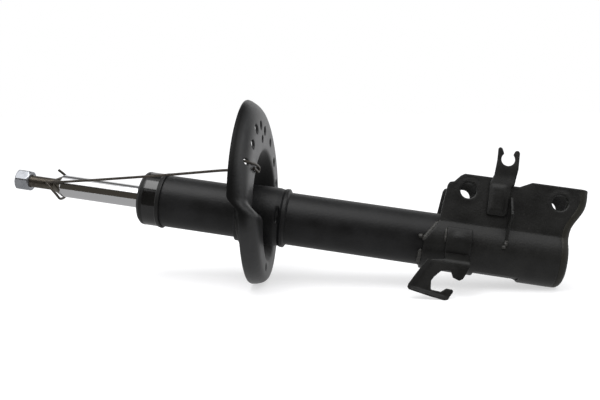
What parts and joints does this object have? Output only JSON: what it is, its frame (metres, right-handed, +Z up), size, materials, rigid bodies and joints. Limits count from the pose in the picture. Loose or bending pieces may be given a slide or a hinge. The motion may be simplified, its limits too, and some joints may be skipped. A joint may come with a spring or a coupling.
{
  "type": "strut assembly",
  "caption": "Front suspension strut: twin-tube damper with chromed rod, spring seat, two-eared knuckle bracket, hose fork and line clip, rod held in by a wire",
  "frame": {"origin": "on the surface it lies on, under the middle of its bounding box", "axes": "+Z up; +X along the floor from the stud end of the rod to the knuckle end; -Y is the side with the line clip. The damper axis lies in the XZ plane and slopes down towards +X"},
  "size_m": [0.5554, 0.171, 0.1791],
  "materials": {
    "tube_paint": "satin black paint over steel, light scuffs",
    "inner_steel": "cold drawn, oily",
    "sintered_iron": "sintered iron",
    "bush_bronze": "bronze with a dark lining",
    "seal_rubber": "black nitrile rubber",
    "cap_gloss": "gloss black over pressed steel",
    "rod_chrome": "hard chrome, polished",
    "band_ptfe": "bronze filled plastic",
    "spring_steel": "hardened strip",
    "nut_zinc": "zinc plated",
    "bracket_coat": "grey dipped coat over pressed steel",
    "weld_bead": "painted-over weld",
    "wire_iron": "annealed iron wire"
  },
  "bodies": {
    "strut_body": {"outer_tube": "tube_paint", "tube_end_cap": "tube_paint", "pressure_tube": "inner_steel", "rod_guide": "sintered_iron", "guide_bush": "bush_bronze", "oil_seal": "seal_rubber", "seal_retainer": "inner_steel", "bump_cap": "cap_gloss", "base_valve_body": "sintered_iron", "base_valve_shims": "spring_steel", "base_intake_disc": "spring_steel", "base_valve_rivet": "inner_steel", "spring_seat_pan": "bracket_coat", "seat_collar": "bracket_coat", "seat_weld": "weld_bead", "knuckle_bracket": "bracket_coat", "bracket_welds": "weld_bead", "hose_fork": "bracket_coat", "fork_gusset": "bracket_coat", "line_clip": "bracket_coat", "retaining_wire": "wire_iron"},
    "rod_carrier": {"piston_band": "band_ptfe"},
    "rod": {"piston_rod": "rod_chrome", "rebound_stop": "seal_rubber", "piston": "sintered_iron", "compression_shims": "spring_steel", "rebound_shims": "spring_steel", "piston_nut": "spring_steel", "top_nut": "nut_zinc"}
  },
  "joints": [
    {"name": "rod_slide", "type": "slide", "parent": "strut_body", "child": "rod_carrier", "axis": [-0.9906, 0, 0.1369], "range_m": [-0.045, 0.13], "deforming": ["retaining_wire"]},
    {"name": "rod_spin", "type": "hinge", "parent": "rod_carrier", "child": "rod", "pos_m": [-0.12255, 0, 0.07956], "axis": [-0.9906, 0, 0.1369], "continuous": true}
  ]
}
